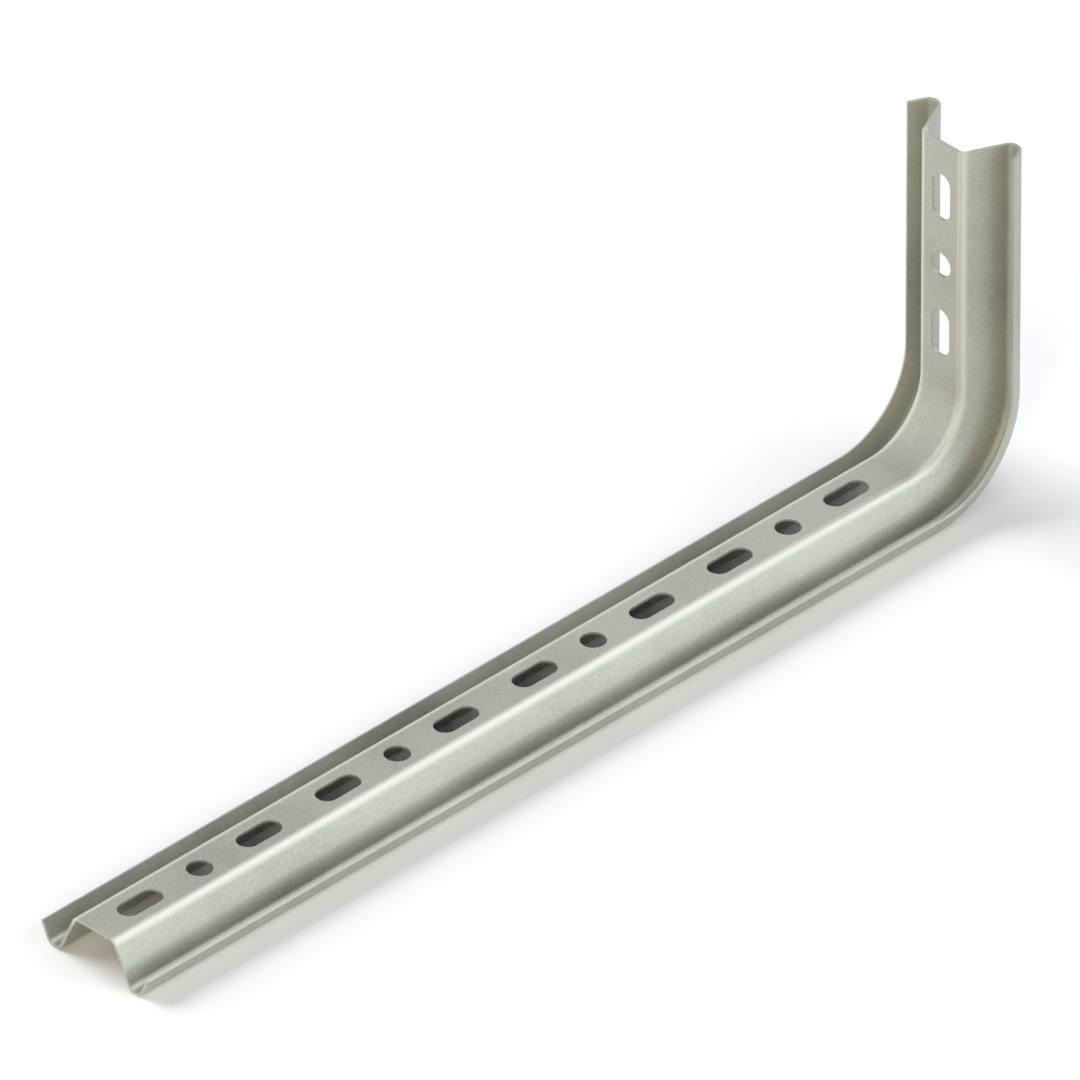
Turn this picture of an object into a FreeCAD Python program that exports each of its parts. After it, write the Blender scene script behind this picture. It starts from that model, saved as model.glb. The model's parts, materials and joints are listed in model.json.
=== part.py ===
import FreeCAD, Part
import math
import os
import Sketcher

# Driving sizes in millimetres and degrees. Lengths along the arm start at the wall plane, x = 0.
SIZES = {
    "arm_length": 360.0,
    "leg_height": 120.0,
    "profile_height": 15.0,
    "sheet_thickness": 1.0,
    "crown_flat": 13.4,
    "crown_bend_radius": 1.6,
    "web_angle": 65.5,
    "edge_bend_radius": 2.6,
    "lip_height": 7.5,
    "elbow_radius": 20.0,
    "slot_width": 7.2,
    "slot_length": 16.0,
    "hole_diameter": 8.0,
    "hole_spacing": 24.0,
    "arm_end_margin": 18.4,
    "leg_end_margin": 19.1,
    "group_pitch": 80.0,
}

doc = FreeCAD.newDocument("bracket")
sheet = doc.addObject("Spreadsheet::Sheet", "sizes")
for row, (alias, value) in enumerate(SIZES.items(), start=1):
    sheet.set(f"A{row}", alias)
    sheet.set(f"B{row}", str(value))
    sheet.setAlias(f"B{row}", alias)

# The arm has as many whole hole groups as fit between its free end and the elbow.
groups_row = len(SIZES) + 1
sheet.set(f"A{groups_row}", "arm_groups")
sheet.set(f"B{groups_row}",
          "=floor((arm_length - arm_end_margin - 2 * hole_spacing - slot_length / 2"
          " - profile_height - elbow_radius) / group_pitch) + 1")
sheet.setAlias(f"B{groups_row}", "arm_groups")
doc.recompute()

body = doc.addObject("PartDesign::Body", "bracket_body")
body.Label = "bracket"


def size(alias):
    return float(sheet.get(alias))


ELBOW_START = "sizes.profile_height + sizes.elbow_radius"


def origin_plane(role):
    """One of the body's own origin planes or axes, such as XY_Plane."""
    return next(feature for feature in body.Origin.OriginFeatures if feature.Role == role)


def new_sketch(name, plane_role, rotation, offset_axis, offset_formula):
    """A sketch parallel to an origin plane, moved off it by a formula in the driving sizes."""
    sketch = body.newObject("Sketcher::SketchObject", name)
    sketch.AttachmentSupport = (origin_plane(plane_role), [""])
    sketch.MapMode = "FlatFace"
    sketch.AttachmentOffset = FreeCAD.Placement(FreeCAD.Vector(), rotation)
    sketch.setExpression(f"AttachmentOffset.Base.{offset_axis}", offset_formula)
    return sketch


def dimension(sketch, name, formula, kind, *places):
    """A named dimension of the sketch, bound to a formula in the driving sizes."""
    value = float(sketch.evalExpression(formula))
    if kind == "Angle":
        value = math.radians(value)
    index = sketch.addConstraint(Sketcher.Constraint(kind, *places, value))
    sketch.renameConstraint(index, name)
    sketch.setExpression(f"Constraints.{name}", formula)


def arc(centre, radius, first_angle, last_angle):
    circle = Part.Circle(centre, FreeCAD.Vector(0, 0, 1), radius)
    return Part.ArcOfCircle(circle, first_angle, last_angle)


# The section of the folded strip, right of its centre line: a flat crown, a web that slopes
# outwards to the edge bend, and a lip that rises from it at the same slope. The sketch's x is
# across the strip and its y is up from the plane that the edge bends rest on.
START = 1
END = 2
CENTRE = 3
ORIGIN = -1
ACROSS_AXIS = -1
UP_AXIS = -2


def draw_half_section(sketch):
    thick = size("sheet_thickness")
    height = size("profile_height")
    half_crown = size("crown_flat") / 2
    slope = math.radians(size("web_angle"))
    crown_inner = size("crown_bend_radius")
    crown_outer = crown_inner + thick
    edge_inner = size("edge_bend_radius")
    edge_outer = edge_inner + thick
    normal = FreeCAD.Vector(math.sin(slope), math.cos(slope), 0)
    down_web = FreeCAD.Vector(math.cos(slope), -math.sin(slope), 0)
    lip_side = FreeCAD.Vector(math.sin(slope), -math.cos(slope), 0)
    up_lip = FreeCAD.Vector(math.cos(slope), math.sin(slope), 0)

    crown_centre = FreeCAD.Vector(half_crown, height - crown_outer, 0)
    drop = crown_centre.y + (crown_outer + edge_inner) * normal.y - edge_outer
    web_length = drop / math.sin(slope)
    edge_centre = crown_centre + normal * (crown_outer + edge_inner) + down_web * web_length
    lip_start = edge_centre + lip_side * edge_inner
    lip_length = (size("lip_height") - lip_start.y) / math.sin(slope)
    tip_inner = lip_start + up_lip * lip_length
    tip_outer = tip_inner + lip_side * thick

    top_left = FreeCAD.Vector(0, height, 0)
    top_right = FreeCAD.Vector(half_crown, height, 0)
    under_left = FreeCAD.Vector(0, height - thick, 0)
    under_right = FreeCAD.Vector(half_crown, height - thick, 0)
    right_angle = math.pi / 2
    below = 3 * right_angle

    crown_top = sketch.addGeometry(Part.LineSegment(top_left, top_right))
    crown_bend_top = sketch.addGeometry(
        arc(crown_centre, crown_outer, right_angle - slope, right_angle))
    web_top = sketch.addGeometry(
        Part.LineSegment(crown_centre + normal * crown_outer, edge_centre - normal * edge_inner))
    edge_bend_in = sketch.addGeometry(arc(edge_centre, edge_inner, below - slope, below + slope))
    lip_in = sketch.addGeometry(Part.LineSegment(lip_start, tip_inner))
    tip = sketch.addGeometry(Part.LineSegment(tip_inner, tip_outer))
    lip_out = sketch.addGeometry(
        Part.LineSegment(tip_outer, edge_centre + lip_side * edge_outer))
    edge_bend_out = sketch.addGeometry(arc(edge_centre, edge_outer, below - slope, below + slope))
    web_under = sketch.addGeometry(
        Part.LineSegment(edge_centre - normal * edge_outer, crown_centre + normal * crown_inner))
    crown_bend_under = sketch.addGeometry(
        arc(crown_centre, crown_inner, right_angle - slope, right_angle))
    crown_under = sketch.addGeometry(Part.LineSegment(under_right, under_left))
    centre_line = sketch.addGeometry(Part.LineSegment(under_left, top_left))

    rules = [
        ("Tangent", crown_top, END, crown_bend_top, END),
        ("Tangent", crown_bend_top, START, web_top, START),
        ("Tangent", web_top, END, edge_bend_in, START),
        ("Tangent", edge_bend_in, END, lip_in, START),
        ("Coincident", lip_in, END, tip, START),
        ("Coincident", tip, END, lip_out, START),
        ("Tangent", lip_out, END, edge_bend_out, END),
        ("Tangent", edge_bend_out, START, web_under, START),
        ("Tangent", web_under, END, crown_bend_under, START),
        ("Tangent", crown_bend_under, END, crown_under, START),
        ("Coincident", crown_under, END, centre_line, START),
        ("Coincident", centre_line, END, crown_top, START),
        ("Coincident", crown_bend_top, CENTRE, crown_bend_under, CENTRE),
        ("Coincident", edge_bend_in, CENTRE, edge_bend_out, CENTRE),
        ("Horizontal", crown_top),
        ("Horizontal", crown_under),
        ("Parallel", web_top, web_under),
        ("Parallel", lip_in, lip_out),
        ("Perpendicular", lip_in, tip),
        ("PointOnObject", crown_top, START, UP_AXIS),
        ("PointOnObject", crown_under, END, UP_AXIS),
    ]
    for rule in rules:
        sketch.addConstraint(Sketcher.Constraint(*rule))

    dimension(sketch, "height", "sizes.profile_height",
              "DistanceY", ORIGIN, START, crown_top, START)
    dimension(sketch, "thickness", "sizes.sheet_thickness",
              "DistanceY", crown_under, END, crown_top, START)
    dimension(sketch, "half_crown", "sizes.crown_flat / 2",
              "DistanceX", crown_top, START, crown_top, END)
    dimension(sketch, "crown_bend", "sizes.crown_bend_radius", "Radius", crown_bend_under)
    dimension(sketch, "edge_bend", "sizes.edge_bend_radius", "Radius", edge_bend_in)
    dimension(sketch, "edge_seat", "sizes.edge_bend_radius + sizes.sheet_thickness",
              "DistanceY", ORIGIN, START, edge_bend_in, CENTRE)
    dimension(sketch, "lip_tip", "sizes.lip_height",
              "DistanceY", ORIGIN, START, lip_in, END)
    dimension(sketch, "web_slope", "180 - sizes.web_angle",
              "Angle", crown_under, START, web_under, END)
    dimension(sketch, "lip_slope", "sizes.web_angle", "Angle", lip_in)


NO_TURN = FreeCAD.Rotation()

# Arm and elbow share one section, where the straight arm ends. The elbow's axis is a
# construction line in that sketch, above the crown by the elbow's radius.
arm_section = new_sketch("arm_section", "YZ_Plane", NO_TURN, "z", ELBOW_START)
draw_half_section(arm_section)
axis_height = size("profile_height") + size("elbow_radius")
elbow_axis = arm_section.addGeometry(
    Part.LineSegment(FreeCAD.Vector(0, axis_height, 0), FreeCAD.Vector(size("crown_flat"), axis_height, 0)), True)
arm_section.addConstraint(Sketcher.Constraint("Horizontal", elbow_axis))
arm_section.addConstraint(Sketcher.Constraint("PointOnObject", elbow_axis, START, UP_AXIS))
dimension(arm_section, "axis_height", ELBOW_START,
          "DistanceY", ORIGIN, START, elbow_axis, START)
dimension(arm_section, "axis_length", "sizes.crown_flat",
          "DistanceX", elbow_axis, START, elbow_axis, END)

arm = body.newObject("PartDesign::Pad", "arm")
arm.Profile = arm_section
arm.setExpression("Length", f"sizes.arm_length - ({ELBOW_START})")

elbow = body.newObject("PartDesign::Revolution", "elbow")
elbow.Profile = arm_section
elbow.ReferenceAxis = (arm_section, ["Axis0"])
elbow.Angle = 90

# The leg's section lies flat at the elbow's top end, turned so that its crown faces the arm.
ACROSS_THEN_OUT = FreeCAD.Rotation(FreeCAD.Vector(1, 1, 0), 180)
leg_section = new_sketch("leg_section", "XY_Plane", ACROSS_THEN_OUT, "z", ELBOW_START)
draw_half_section(leg_section)

leg = body.newObject("PartDesign::Pad", "leg")
leg.Profile = leg_section
leg.Reversed = True
leg.setExpression("Length", f"sizes.leg_height - ({ELBOW_START})")
doc.recompute()
half_volume = leg.Shape.Volume

other_half = body.newObject("PartDesign::Mirrored", "other_half")
other_half.Originals = [arm, elbow, leg]
other_half.MirrorPlane = (origin_plane("XZ_Plane"), [""])
body.Tip = other_half
doc.recompute()


def draw_slot(sketch, name, along, distance):
    """A round-ended slot along one sketch axis, with its centre at a formula's distance."""
    half_width = size("slot_width") / 2
    half_straight = (size("slot_length") - size("slot_width")) / 2
    middle = along * distance[0]
    across = FreeCAD.Vector(-along.y, along.x, 0)
    far_centre = middle + along * half_straight
    near_centre = middle - along * half_straight
    heading = math.atan2(along.y, along.x)
    quarter = math.pi / 2
    far_end = sketch.addGeometry(
        arc(far_centre, half_width, heading - quarter, heading + quarter))
    near_end = sketch.addGeometry(
        arc(near_centre, half_width, heading + quarter, heading + 3 * quarter))
    left_side = sketch.addGeometry(
        Part.LineSegment(far_centre + across * half_width, near_centre + across * half_width))
    right_side = sketch.addGeometry(
        Part.LineSegment(near_centre - across * half_width, far_centre - across * half_width))
    on_axis = ACROSS_AXIS if along.x else UP_AXIS
    for rule in [
        ("Tangent", far_end, END, left_side, START),
        ("Tangent", left_side, END, near_end, START),
        ("Tangent", near_end, END, right_side, START),
        ("Tangent", right_side, END, far_end, START),
        ("PointOnObject", far_end, CENTRE, on_axis),
        ("PointOnObject", near_end, CENTRE, on_axis),
    ]:
        sketch.addConstraint(Sketcher.Constraint(*rule))
    direction = "DistanceX" if along.x else "DistanceY"
    half_gap = "(sizes.slot_length - sizes.slot_width) / 2"
    dimension(sketch, f"{name}_radius", "sizes.slot_width / 2", "Radius", far_end)
    dimension(sketch, f"{name}_far", f"{distance[1]} + {half_gap}",
              direction, ORIGIN, START, far_end, CENTRE)
    dimension(sketch, f"{name}_near", f"{distance[1]} - {half_gap}",
              direction, ORIGIN, START, near_end, CENTRE)


def draw_hole_group(sketch, along, total, margin):
    """Slot, round hole and slot in a row, counted from the strip's end towards the wall."""
    first = size(total) - size(margin)
    first_formula = f"sizes.{total} - sizes.{margin}"
    step = size("hole_spacing")
    draw_slot(sketch, "outer_slot", along, (first, first_formula))
    draw_slot(sketch, "inner_slot", along,
              (first - 2 * step, f"{first_formula} - 2 * sizes.hole_spacing"))
    circle = Part.Circle(along * (first - step), FreeCAD.Vector(0, 0, 1),
                         size("hole_diameter") / 2)
    hole = sketch.addGeometry(circle)
    on_axis = ACROSS_AXIS if along.x else UP_AXIS
    sketch.addConstraint(Sketcher.Constraint("PointOnObject", hole, CENTRE, on_axis))
    direction = "DistanceX" if along.x else "DistanceY"
    dimension(sketch, "hole_diameter", "sizes.hole_diameter", "Diameter", hole)
    dimension(sketch, "hole_place", f"{first_formula} - sizes.hole_spacing",
              direction, ORIGIN, START, hole, CENTRE)


def punch(name, sketch):
    """Cut the sketch's outlines down through the crown and nothing beyond it."""
    pocket = body.newObject("PartDesign::Pocket", name)
    pocket.Profile = sketch
    pocket.setExpression("Length", "sizes.sheet_thickness * 2")
    doc.recompute()
    return pocket


arm_holes_sketch = new_sketch(
    "arm_holes_sketch", "XY_Plane", NO_TURN, "z", "sizes.profile_height")
draw_hole_group(arm_holes_sketch, FreeCAD.Vector(1, 0, 0), "arm_length", "arm_end_margin")
arm_holes = punch("arm_holes", arm_holes_sketch)

arm_hole_row = body.newObject("PartDesign::LinearPattern", "arm_hole_row")
arm_hole_row.Originals = [arm_holes]
arm_hole_row.Direction = (origin_plane("X_Axis"), [""])
arm_hole_row.Reversed = True
arm_hole_row.setExpression("Occurrences", "sizes.arm_groups")
arm_hole_row.setExpression("Length", "sizes.group_pitch * (sizes.arm_groups - 1)")
body.Tip = arm_hole_row
doc.recompute()

leg_holes_sketch = new_sketch(
    "leg_holes_sketch", "YZ_Plane", NO_TURN, "z", "sizes.profile_height")
draw_hole_group(leg_holes_sketch, FreeCAD.Vector(0, 1, 0), "leg_height", "leg_end_margin")
leg_holes = punch("leg_holes", leg_holes_sketch)
body.Tip = leg_holes
doc.recompute()

# Every feature is sound, and the punched holes remove just their own area of sheet.
for item in doc.Objects:
    if "Invalid" in item.State or "Error" in item.State:
        raise RuntimeError(f"{item.Name} failed: {item.State}")
shape = body.Shape
if shape.isNull() or not shape.isValid() or len(shape.Solids) != 1:
    raise RuntimeError("the bracket isn't one sound solid")
slot_area = (size("slot_length") - size("slot_width")) * size("slot_width")
slot_area += math.pi * size("slot_width") ** 2 / 4
hole_area = math.pi * size("hole_diameter") ** 2 / 4
groups = int(size("arm_groups")) + 1
punched = groups * (2 * slot_area + hole_area) * size("sheet_thickness")
removed = 2 * half_volume - shape.Volume
if abs(removed - punched) > 0.01 * punched:
    raise RuntimeError(f"the holes removed {removed:.1f} mm3 in place of {punched:.1f}")

os.makedirs("parts", exist_ok=True)
shape.exportStep(f"parts/{body.Label}.step")
bounds = shape.optimalBoundingBox()
print(f"bracket: volume {shape.Volume:.1f} mm3, faces {len(shape.Faces)}, "
      f"x {bounds.XMin:.2f} to {bounds.XMax:.2f}, y {bounds.YMin:.2f} to {bounds.YMax:.2f}, "
      f"z {bounds.ZMin:.2f} to {bounds.ZMax:.2f}")
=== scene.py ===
import json
import math

import bmesh
import bpy
from mathutils import Matrix, Vector


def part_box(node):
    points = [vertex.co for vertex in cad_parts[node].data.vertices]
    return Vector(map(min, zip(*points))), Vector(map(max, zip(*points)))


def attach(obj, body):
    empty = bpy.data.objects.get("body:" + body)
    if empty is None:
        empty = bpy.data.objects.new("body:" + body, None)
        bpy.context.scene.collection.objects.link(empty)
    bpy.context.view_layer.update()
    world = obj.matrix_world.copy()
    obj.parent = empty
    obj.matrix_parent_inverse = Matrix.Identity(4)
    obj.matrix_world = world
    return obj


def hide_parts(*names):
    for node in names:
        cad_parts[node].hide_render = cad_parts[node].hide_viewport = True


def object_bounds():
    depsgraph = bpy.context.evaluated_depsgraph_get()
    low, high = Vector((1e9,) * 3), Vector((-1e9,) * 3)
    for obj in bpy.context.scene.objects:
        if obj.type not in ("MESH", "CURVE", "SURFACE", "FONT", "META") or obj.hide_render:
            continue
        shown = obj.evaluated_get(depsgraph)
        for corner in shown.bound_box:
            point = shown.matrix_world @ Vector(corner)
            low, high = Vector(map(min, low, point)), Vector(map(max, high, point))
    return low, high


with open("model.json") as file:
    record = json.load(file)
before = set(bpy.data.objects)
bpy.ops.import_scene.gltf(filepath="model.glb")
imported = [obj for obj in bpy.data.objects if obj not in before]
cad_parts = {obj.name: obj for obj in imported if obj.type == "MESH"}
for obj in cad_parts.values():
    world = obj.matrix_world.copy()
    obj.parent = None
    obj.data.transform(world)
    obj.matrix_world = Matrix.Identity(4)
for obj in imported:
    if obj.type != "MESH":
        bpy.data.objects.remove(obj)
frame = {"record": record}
cad_low, cad_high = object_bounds()
scene = bpy.context.scene


# The camera looks down the cube diagonal, as an isometric drawing does, through a long lens
# that keeps the edges all but parallel. It aims at a point just off the middle of the bracket.
MM_PER_M = 1000
SENSOR = 0.036
LENS = 1.500
FRAME_WIDTH = 0.3114
AIM = Vector((0.1794, 0.0, 0.0612))
TO_CAMERA = Vector((1.0, 1.0, 1.0)).normalized()
CAMERA_DISTANCE = FRAME_WIDTH * LENS / SENSOR

camera_data = bpy.data.cameras.new("camera")
camera_data.sensor_width = SENSOR * MM_PER_M
camera_data.lens = LENS * MM_PER_M
camera_data.clip_end = CAMERA_DISTANCE * 2
camera = bpy.data.objects.new("camera", camera_data)
camera.location = AIM + TO_CAMERA * CAMERA_DISTANCE
camera.rotation_euler = TO_CAMERA.to_track_quat("Z", "Y").to_euler()
scene.collection.objects.link(camera)
scene.camera = camera


# The bracket is one strip of hot-dip galvanised steel, punched flat, rolled to a lipped hat
# section and bent once over a round former. The zinc leaves a satin skin with a fine grain and a
# faint cloudy spangle. A lighter band along the two crown bends is a painted highlight.
DARK_ZINC = "#92958D"
PALE_ZINC = "#ACAEA5"
# The paler colour of the painted highlight on the crown bends.
PAINTED_HIGHLIGHT_ZINC = "#CCCEC4"

# Half of the skin mirrors as metal, and half is dull, as zinc is once it has stood in the air.
METAL_SHARE = 0.5
SMOOTHEST = 0.34
ROUGHEST = 0.44

# The grain is drawn coarser than the real one, so that it shows in the render.
GRAIN = 0.0008
GRAIN_WEIGHT = 0.7
GRAIN_DEPTH = 0.00003
GRAIN_BUMP = 0.5
SPANGLE = 0.006
SPANGLE_WEIGHT = 0.05
CLOUD = 0.045
# How much of the painted highlight's colour goes on the crown bends, and how wide its edge fades.
PAINTED_HIGHLIGHT_MIX = 0.65
PAINTED_HIGHLIGHT_FADE = 0.0005

# The zinc is roughest at the speckle's high end, and palest a little before it.
SPECKLE_LOW = 0.55
PALEST_AT = 1.00
SPECKLE_HIGH = 1.10


def linear(hex_colour):
    """An sRGB hex colour as the linear values that the shaders take."""
    channels = [int(hex_colour[i:i + 2], 16) / 255 for i in (1, 3, 5)]
    return [c / 12.92 if c <= 0.04045 else ((c + 0.055) / 1.055) ** 2.4 for c in channels] + [1.0]


def add_node(tree, kind, settings=None, **inputs):
    """A shader node with its settings, and its inputs set or linked by name, or by place as i0."""
    node = tree.nodes.new(kind)
    for name, value in (settings or {}).items():
        setattr(node, name, value)
    for name, value in inputs.items():
        by_place = name[1:].isdigit()
        socket = node.inputs[int(name[1:]) if by_place else name.replace("_", " ")]
        if isinstance(value, bpy.types.NodeSocket):
            tree.links.new(value, socket)
        else:
            socket.default_value = value
    return node


def galvanised_steel(bend_middle, bend_half_width):
    """The zinc skin, with a painted highlight where the distance from the strip's middle is a crown
    bend's.
    """
    material = bpy.data.materials.new("galvanised_steel")
    material.use_nodes = True
    tree = material.node_tree
    tree.nodes.clear()
    place = add_node(tree, "ShaderNodeTexCoord").outputs["Object"]
    cloud = add_node(tree, "ShaderNodeTexNoise", Vector=place, Scale=1 / CLOUD, Detail=2.0)
    spangle = add_node(tree, "ShaderNodeTexVoronoi", {"feature": "F1"},
                       Vector=place, Scale=1 / SPANGLE, Randomness=1.0)
    grain = add_node(tree, "ShaderNodeTexNoise", Vector=place, Scale=1 / GRAIN, Detail=3.0)
    crystal = add_node(tree, "ShaderNodeSeparateColor", Color=spangle.outputs["Color"])
    tone = add_node(tree, "ShaderNodeMath", {"operation": "MULTIPLY_ADD"},
                    i0=crystal.outputs["Red"], i1=SPANGLE_WEIGHT, i2=cloud.outputs["Fac"])
    speckle = add_node(tree, "ShaderNodeMath", {"operation": "MULTIPLY_ADD"},
                       i0=grain.outputs["Fac"], i1=GRAIN_WEIGHT, i2=tone.outputs[0])
    colour = add_node(tree, "ShaderNodeValToRGB", Fac=speckle.outputs[0])
    colour.color_ramp.elements[0].position = SPECKLE_LOW
    colour.color_ramp.elements[0].color = linear(DARK_ZINC)
    colour.color_ramp.elements[1].position = PALEST_AT
    colour.color_ramp.elements[1].color = linear(PALE_ZINC)
    rough = add_node(tree, "ShaderNodeMapRange", Value=speckle.outputs[0], From_Min=SPECKLE_LOW,
                     From_Max=SPECKLE_HIGH, To_Min=SMOOTHEST, To_Max=ROUGHEST)
    bump = add_node(tree, "ShaderNodeBump", Height=grain.outputs["Fac"],
                    Strength=GRAIN_BUMP, Distance=GRAIN_DEPTH)
    across = add_node(tree, "ShaderNodeSeparateXYZ", Vector=place).outputs["Y"]
    side = add_node(tree, "ShaderNodeMath", {"operation": "ABSOLUTE"}, i0=across)
    past = add_node(tree, "ShaderNodeMath", {"operation": "SUBTRACT"},
                    i0=side.outputs[0], i1=bend_middle)
    off_bend = add_node(tree, "ShaderNodeMath", {"operation": "ABSOLUTE"}, i0=past.outputs[0])
    # The crown bends are mixed towards a lighter colour: a painted highlight.
    painted_highlight = add_node(tree, "ShaderNodeMapRange", {"interpolation_type": "SMOOTHSTEP"},
                       Value=off_bend.outputs[0], From_Min=bend_half_width - PAINTED_HIGHLIGHT_FADE,
                       From_Max=bend_half_width + PAINTED_HIGHLIGHT_FADE, To_Min=PAINTED_HIGHLIGHT_MIX, To_Max=0.0)
    skin = add_node(tree, "ShaderNodeMixRGB", Fac=painted_highlight.outputs["Result"],
                    Color1=colour.outputs["Color"], Color2=linear(PAINTED_HIGHLIGHT_ZINC))
    steel = add_node(tree, "ShaderNodeBsdfPrincipled", Base_Color=skin.outputs["Color"],
                     Metallic=METAL_SHARE, Roughness=rough.outputs["Result"],
                     Normal=bump.outputs["Normal"])
    add_node(tree, "ShaderNodeOutputMaterial", Surface=steel.outputs["BSDF"])
    return material


# The strip's middle surface is drawn as half a section and mirrored, then run along the arm, round
# the elbow and up the leg. It gets the sheet's thickness after that.
SHEET = 0.001
DEPTH = 0.015
CROWN_FLAT = 0.0134
CROWN_BEND = 0.0016
EDGE_BEND = 0.0026
WEB_ANGLE = math.radians(65.5)
LIP_HEIGHT = 0.0075
ELBOW_BEND = 0.020
ELBOW_TURN = math.radians(90)
ELBOW_STEPS = 48
FACET = math.radians(6)
SAME_PLACE = 1e-7

arm_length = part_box("bracket")[1].x
leg_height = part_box("bracket")[1].z
elbow_start = DEPTH + ELBOW_BEND
crown_radius = CROWN_BEND + SHEET / 2
edge_radius = EDGE_BEND + SHEET / 2
edge_centre_z = EDGE_BEND + SHEET
slope_sin = math.sin(WEB_ANGLE)
slope_cos = math.cos(WEB_ANGLE)


def run_straight(wire, end, step):
    """Lengthens the section by one straight, and gives its new end."""
    grown = bmesh.ops.extrude_vert_indiv(wire, verts=[end])["verts"][0]
    grown.co += step
    return grown


def run_round(wire, end, centre, angle):
    """Lengthens the section by one bend about a centre, and gives its new end."""
    turned = bmesh.ops.spin(wire, geom=[end], cent=centre, axis=(1, 0, 0), angle=angle,
                            steps=max(1, round(abs(angle) / FACET)), use_duplicate=False)
    return turned["geom_last"][0]


strip_shape = bmesh.new()
crown_middle = bmesh.ops.create_vert(strip_shape, co=(elbow_start, 0, DEPTH - SHEET / 2))["vert"][0]
end = run_straight(strip_shape, crown_middle, Vector((0, CROWN_FLAT / 2, 0)))
end = run_round(strip_shape, end, end.co - Vector((0, 0, crown_radius)), -WEB_ANGLE)
web_drop = end.co.z - (edge_centre_z - edge_radius * slope_cos)
end = run_straight(strip_shape, end, Vector((0, web_drop * slope_cos / slope_sin, -web_drop)))
edge_centre = end.co + Vector((0, slope_sin, slope_cos)) * edge_radius
end = run_round(strip_shape, end, edge_centre, 2 * WEB_ANGLE)
lip_rise = LIP_HEIGHT - SHEET / 2 * slope_cos - end.co.z
run_straight(strip_shape, end, Vector((0, lip_rise * slope_cos / slope_sin, lip_rise)))
bmesh.ops.mirror(strip_shape, geom=strip_shape.verts[:] + strip_shape.edges[:],
                 axis="Y", merge_dist=SAME_PLACE)
bmesh.ops.remove_doubles(strip_shape, verts=strip_shape.verts, dist=SAME_PLACE)

section = strip_shape.edges[:]
arm = bmesh.ops.extrude_edge_only(strip_shape, edges=section)["geom"]
bmesh.ops.translate(strip_shape, vec=(arm_length - elbow_start, 0, 0),
                    verts=[v for v in arm if isinstance(v, bmesh.types.BMVert)])
section_points = {v for edge in section for v in edge.verts}
elbow = bmesh.ops.spin(strip_shape, geom=section + list(section_points), steps=ELBOW_STEPS,
                       cent=(elbow_start, 0, elbow_start), axis=(0, 1, 0),
                       angle=ELBOW_TURN, use_duplicate=False)["geom_last"]
leg = bmesh.ops.extrude_edge_only(
    strip_shape, edges=[e for e in elbow if isinstance(e, bmesh.types.BMEdge)])["geom"]
bmesh.ops.translate(strip_shape, vec=(0, 0, leg_height - elbow_start),
                    verts=[v for v in leg if isinstance(v, bmesh.types.BMVert)])
bmesh.ops.remove_doubles(strip_shape, verts=strip_shape.verts, dist=SAME_PLACE)
bmesh.ops.recalc_face_normals(strip_shape, faces=strip_shape.faces)
sheet_mesh = bpy.data.meshes.new("sheet")
strip_shape.to_mesh(sheet_mesh)
strip_shape.free()
sheet_object = bpy.data.objects.new("sheet", sheet_mesh)
scene.collection.objects.link(sheet_object)
thickness = sheet_object.modifiers.new("thickness", "SOLIDIFY")
thickness.thickness = SHEET
thickness.offset = 0
thickness.use_even_offset = True

# The punches are round, or round and drawn out to a slot. Their places and sizes are the packed
# part's own bores and bolt patterns.
PUNCH_DEPTH = 0.006
HOLE_STEPS = 64
FACING_WALL = Matrix.Rotation(math.radians(90), 4, "Y")
FACING_DOWN = Matrix.Identity(4)

# A punch is turned by half a step, so that none of its points lies on the middle line and each
# goes to one end of the slot.
HALF_STEP = Matrix.Rotation(math.pi / HOLE_STEPS, 4, "Z")

punch_shape = bmesh.new()
for mount in frame["record"]["mounts"]:
    if mount["kind"] not in ("bore", "bolt_pattern"):
        continue
    dims = mount["dims"]
    across_wall = abs(mount["axis"][0]) > 0.5
    along = Vector((0, 0, 1)) if across_wall else Vector((1, 0, 0))
    spacing = dims.get("spacing_x_mm", dims.get("spacing_y_mm", 0)) / MM_PER_M
    radius_mm = dims.get("r_mm", dims.get("hole_r_mm"))
    radius = radius_mm / MM_PER_M
    stretch = dims.get("slot_length_mm", 2 * radius_mm) / 2 / MM_PER_M - radius
    facing = FACING_WALL if across_wall else FACING_DOWN
    for side in ((-0.5, 0.5) if spacing else (0,)):
        centre = Vector(mount["pos_m"]) + along * spacing * side
        punch = bmesh.ops.create_cone(
            punch_shape, cap_ends=True, segments=HOLE_STEPS, radius1=radius, radius2=radius,
            depth=PUNCH_DEPTH, matrix=Matrix.Translation(centre) @ facing @ HALF_STEP)
        for point in punch["verts"]:
            point.co += along * math.copysign(stretch, (point.co - centre).dot(along))
punch_mesh = bpy.data.meshes.new("punches")
punch_shape.to_mesh(punch_mesh)
punch_shape.free()
punches = bpy.data.objects.new("punches", punch_mesh)
scene.collection.objects.link(punches)
punching = sheet_object.modifiers.new("punching", "BOOLEAN")
punching.operation = "DIFFERENCE"
punching.solver = "EXACT"
punching.object = punches

punched = sheet_object.evaluated_get(bpy.context.evaluated_depsgraph_get())
strip_mesh = bpy.data.meshes.new_from_object(punched)
strip_mesh.name = "folded_strip"
bpy.data.objects.remove(sheet_object)
bpy.data.objects.remove(punches)

# Every cut edge is worn by a hair. The bends are shaded smooth, and the large flat faces keep
# their own direction.
EDGE_WEAR = 0.00009
SMOOTH_UNDER = math.radians(32)
WELD = 1e-6
FLAT_FACE_WEIGHT = 100

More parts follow.
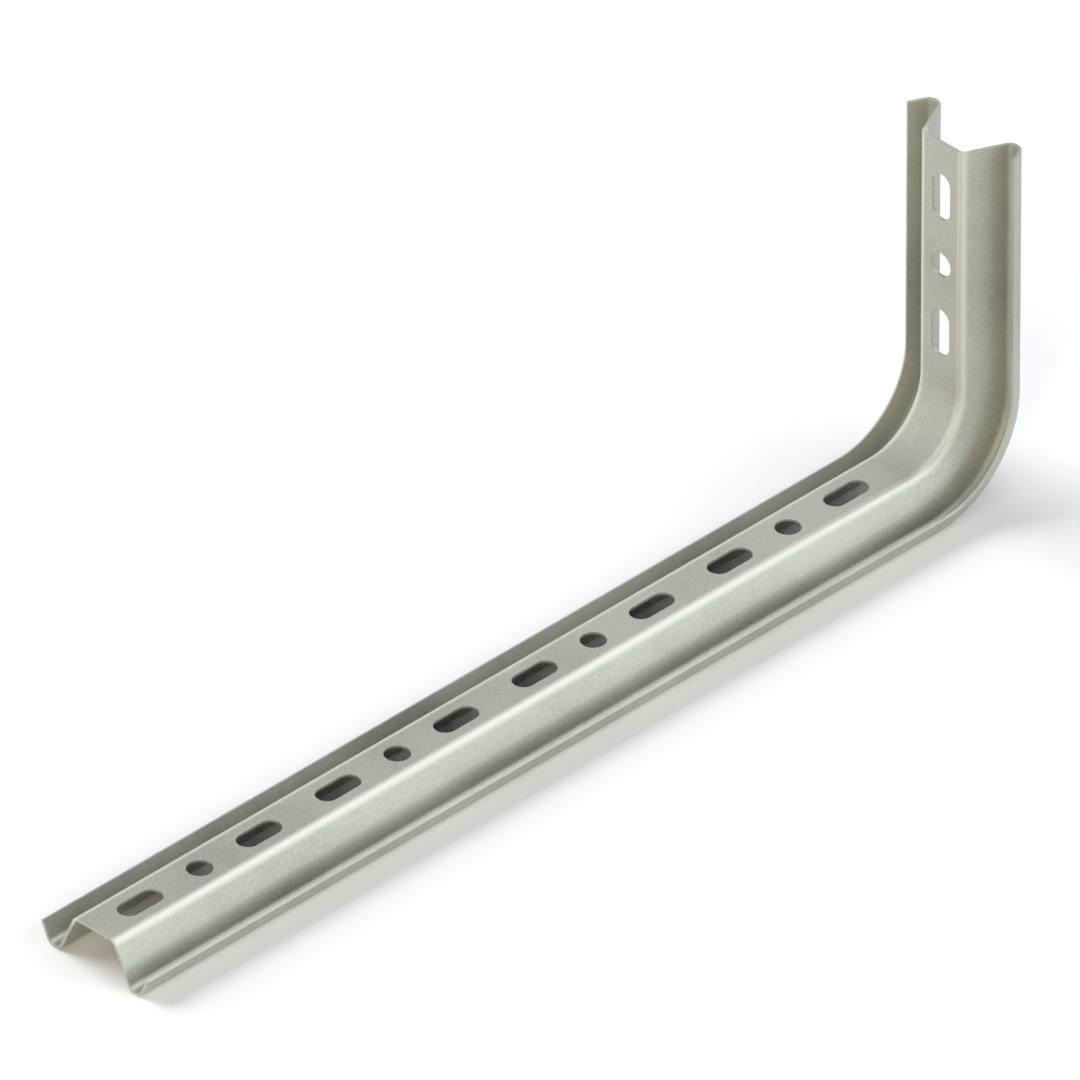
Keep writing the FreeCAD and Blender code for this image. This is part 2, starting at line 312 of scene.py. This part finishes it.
finish = bmesh.new()
finish.from_mesh(strip_mesh)
bmesh.ops.remove_doubles(finish, verts=finish.verts, dist=WELD)
cut_edges = [e for e in finish.edges if e.is_manifold and e.calc_face_angle() > SMOOTH_UNDER]
bmesh.ops.bevel(finish, geom=cut_edges, offset=EDGE_WEAR, offset_type="OFFSET", affect="EDGES",
                segments=2, profile=0.5, material=-1, clamp_overlap=True)
bmesh.ops.recalc_face_normals(finish, faces=finish.faces)
for face in finish.faces:
    face.smooth = True
finish.to_mesh(strip_mesh)
finish.free()

strip = bpy.data.objects.new("folded_strip", strip_mesh)
scene.collection.objects.link(strip)
strip_mesh.materials.clear()
bend_half_width = (CROWN_BEND + SHEET) * slope_sin / 2
strip_mesh.materials.append(galvanised_steel(CROWN_FLAT / 2 + bend_half_width, bend_half_width))
even_shading = strip.modifiers.new("even_shading", "WEIGHTED_NORMAL")
even_shading.weight = FLAT_FACE_WEIGHT
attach(strip, "root")
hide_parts("bracket")


# The floor is a plain, nearly white sheet of paper that the bracket lies on, on its arm's two
# edge bends, with a gap of a hair. It looks the same to the camera and in the metal, and it keeps
# the shadow.
FLOOR_REACH = 6.0
FLOOR_COLOUR = "#FAFAFA"
FLOOR_GAP = 0.0001

floor_mesh = bpy.data.meshes.new("floor")
floor_shape = bmesh.new()
bmesh.ops.create_grid(floor_shape, x_segments=1, y_segments=1, size=FLOOR_REACH)
floor_shape.to_mesh(floor_mesh)
floor_shape.free()
floor = bpy.data.objects.new("floor", floor_mesh)
floor.location.z = cad_low[2] - FLOOR_GAP
scene.collection.objects.link(floor)

paper = bpy.data.materials.new("floor_paper")
paper.use_nodes = True
tree = paper.node_tree
tree.nodes.clear()
matt = add_node(tree, "ShaderNodeBsdfDiffuse", Color=linear(FLOOR_COLOUR))
add_node(tree, "ShaderNodeOutputMaterial", Surface=matt.outputs[0])
floor_mesh.materials.append(paper)


# The room is white to the camera and in the metal, and adds a little cool light. Three broad lamps
# that the metal doesn't mirror do the rest: one throws the shadow, one lights the web and a warm
# one the leg. Two more are seen in the metal alone, one along the web and one along the bends.
ROOM_LIGHT = 0.33
ROOM_COLOUR = "#E2EAFB"
ROOM_SEEN = 1.0
ROOM_SEEN_COLOUR = "#FFFFFF"

world = bpy.data.worlds.new("studio")
world.use_nodes = True
scene.world = world
tree = world.node_tree
tree.nodes.clear()
rays = add_node(tree, "ShaderNodeLightPath")
room = add_node(tree, "ShaderNodeBackground", Color=linear(ROOM_COLOUR), Strength=ROOM_LIGHT)
white = add_node(tree, "ShaderNodeBackground", Color=linear(ROOM_SEEN_COLOUR), Strength=ROOM_SEEN)
mirrored = add_node(tree, "ShaderNodeMath", {"operation": "MAXIMUM"},
                    i0=rays.outputs["Is Glossy Ray"], i1=rays.outputs["Is Transmission Ray"])
shown = add_node(tree, "ShaderNodeMath", {"operation": "MAXIMUM"},
                 i0=rays.outputs["Is Camera Ray"], i1=mirrored.outputs[0])
backdrop = add_node(tree, "ShaderNodeMixShader", i0=shown.outputs[0],
                    i1=room.outputs[0], i2=white.outputs[0])
add_node(tree, "ShaderNodeOutputWorld", Surface=backdrop.outputs[0])

LAMPS = {
    "main_lamp": {"towards": (0.20, -0.80, 0.50), "light": 3.0, "spread": 52, "colour": "#FFFFFF"},
    "web_lamp": {"towards": (-0.45, 0.82, 0.34), "light": 1.75, "spread": 75, "colour": "#F0FAFF"},
    "leg_lamp": {"towards": (0.86, 0.50, 0.10), "light": 3.5, "spread": 60, "colour": "#FFEBC2"},
    "web_shine": {"towards": (-0.375, 0.927, 0.03), "light": 1.1, "spread": 50, "colour": "#F0FAFF"},
    "bend_shine": {"towards": (-0.57, 0.34, 0.75), "light": 0.92, "spread": 52, "colour": "#FFFFFF"},
}
LAMPS_UNSEEN_IN_METAL = ("main_lamp", "web_lamp", "leg_lamp")
for name, lamp in LAMPS.items():
    light = bpy.data.lights.new(name, "SUN")
    light.energy = lamp["light"]
    light.angle = math.radians(lamp["spread"])
    light.color = linear(lamp["colour"])[:3]
    holder = bpy.data.objects.new(name, light)
    holder.rotation_euler = Vector(lamp["towards"]).to_track_quat("Z", "Y").to_euler()
    holder.visible_glossy = name not in LAMPS_UNSEEN_IN_METAL
    holder.visible_diffuse = name in LAMPS_UNSEEN_IN_METAL
    scene.collection.objects.link(holder)

scene.view_settings.view_transform = "Standard"
